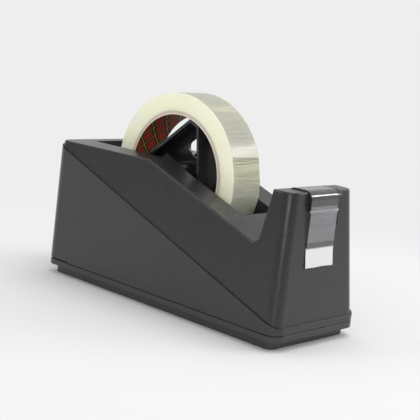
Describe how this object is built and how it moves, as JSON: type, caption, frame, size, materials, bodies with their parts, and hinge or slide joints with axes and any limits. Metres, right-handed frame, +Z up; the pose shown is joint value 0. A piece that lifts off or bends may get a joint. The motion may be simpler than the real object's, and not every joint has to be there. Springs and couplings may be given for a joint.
{
  "type": "bench tape dispenser",
  "caption": "Weighted bench tape dispenser: hollow moulded housing on a stepped base, lift-out three-sided hub with a roll of clear tape, toothed cutter at the front.",
  "frame": {"origin": "on the bench, under the middle of the base", "axes": "+X towards the cutter end, +Z up; the roll turns about a line along Y"},
  "size_m": [0.206, 0.078, 0.1332],
  "materials": {
    "shell_plastic": "fine textured charcoal moulding",
    "tray_plastic": "fine textured charcoal moulding",
    "pad_rubber": "black non-skid sheet",
    "ballast_iron": "as cast, painted grey",
    "screw_steel": "zinc plated",
    "guide_plastic": "satin black moulding",
    "blade_steel": "bright spring steel",
    "axle_steel": "ground steel",
    "plate_plastic": "black moulding",
    "hub_plastic": "black moulding",
    "bush_plastic": "natural acetal",
    "core_card": "wound card tube",
    "liner_print": "printed paper lining, dark red lozenges on green-black",
    "film_roll": "wound clear film, pale cream",
    "film_strip": "single clear film",
    "tab_paper": "white paper"
  },
  "bodies": {
    "housing": {"shell": "shell_plastic", "base_tray": "tray_plastic", "non_skid_pad": "pad_rubber", "ballast_slab": "ballast_iron", "ballast_block": "ballast_iron", "base_screws": "screw_steel", "tape_guide": "guide_plastic", "guide_screws": "screw_steel", "cutter_blade": "blade_steel", "tape_strip": "film_strip", "paper_tab": "tab_paper"},
    "spindle": {"axle": "axle_steel", "spindle_plate_near": "plate_plastic", "spindle_plate_far": "plate_plastic"},
    "roll": {"hub": "hub_plastic", "bush_near": "bush_plastic", "bush_far": "bush_plastic", "core": "core_card", "core_liner": "liner_print", "tape_roll": "film_roll"}
  },
  "joints": [
    {"name": "spindle_lift", "type": "slide", "parent": "housing", "child": "spindle", "axis": [0, 0, 1], "range_m": [0, 0.075]},
    {"name": "roll_spin", "type": "hinge", "parent": "spindle", "child": "roll", "pos_m": [-0.0152, 0, 0.081], "axis": [0, 1, 0], "continuous": true}
  ]
}
